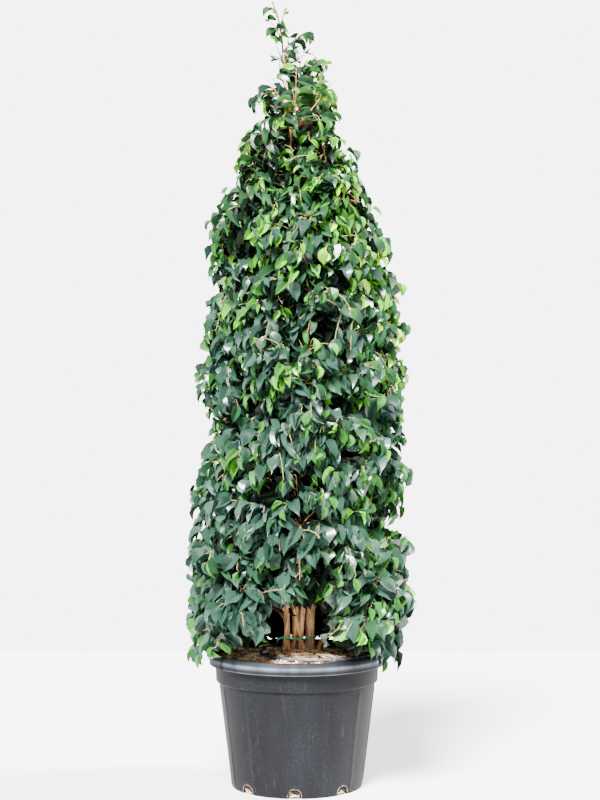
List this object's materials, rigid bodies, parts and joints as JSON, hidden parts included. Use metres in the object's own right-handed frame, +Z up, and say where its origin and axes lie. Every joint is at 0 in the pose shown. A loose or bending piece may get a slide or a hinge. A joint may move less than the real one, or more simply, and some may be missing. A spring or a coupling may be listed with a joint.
{
  "type": "potted weeping fig",
  "caption": "Tall bushy cone of drooping, glossy, pointed leaves on upright stems tied together, growing in a fluted, tapered nursery pot with a rolled rim.",
  "frame": {"origin": "centre of the pot's flat underside, on the floor", "axes": "+Z up along the pot's axis, -Y towards the side from which the bare stems show, +X to the right as seen from there"},
  "size_m": [0.6791, 0.6581, 2.2297],
  "materials": {
    "pot_plastic": "moulded charcoal polypropylene, satin, scuffed and dusty",
    "growing_medium": "coarse reddish-brown fibre with straw-coloured chips",
    "ring_tube": "smooth black polythene tube",
    "tie": "green plastic-coated wire",
    "bark": "tan-brown bark with fine upright furrows",
    "foliage": "glossy leathery leaves, dark green with yellow-green young growth"
  },
  "bodies": {
    "root": {"pot": "pot_plastic", "growing_medium": "growing_medium", "medium_mound": "growing_medium", "watering_ring": "ring_tube", "stem_front": "bark", "stem_leader": "bark", "stem_left": "bark", "stem_right": "bark", "stem_tie": "tie", "bough_lower_1": "bark", "bough_lower_2": "bark", "bough_lower_3": "bark", "bough_lower_4": "bark", "bough_middle_1": "bark", "bough_middle_2": "bark", "bough_middle_3": "bark", "bough_shoulder_1": "bark", "bough_shoulder_2": "bark", "bough_shoulder_3": "bark", "bough_skirt_1": "bark", "bough_skirt_2": "bark", "bough_skirt_3": "bark", "bough_skirt_4": "bark", "bough_waist_1": "bark", "bough_waist_2": "bark", "bough_waist_3": "bark", "bough_waist_4": "bark", "foliage_crest_1": "foliage", "foliage_crest_2": "foliage", "foliage_lower_1": "foliage", "foliage_lower_2": "foliage", "foliage_lower_3": "foliage", "foliage_lower_4": "foliage", "foliage_middle_1": "foliage", "foliage_middle_2": "foliage", "foliage_middle_3": "foliage", "foliage_shoulder_1": "foliage", "foliage_shoulder_2": "foliage", "foliage_shoulder_3": "foliage", "foliage_skirt_1": "foliage", "foliage_skirt_2": "foliage", "foliage_skirt_3": "foliage", "foliage_skirt_4": "foliage", "foliage_tip_1": "foliage", "foliage_waist_1": "foliage", "foliage_waist_2": "foliage", "foliage_waist_3": "foliage", "foliage_waist_4": "foliage"}
  },
  "joints": []
}
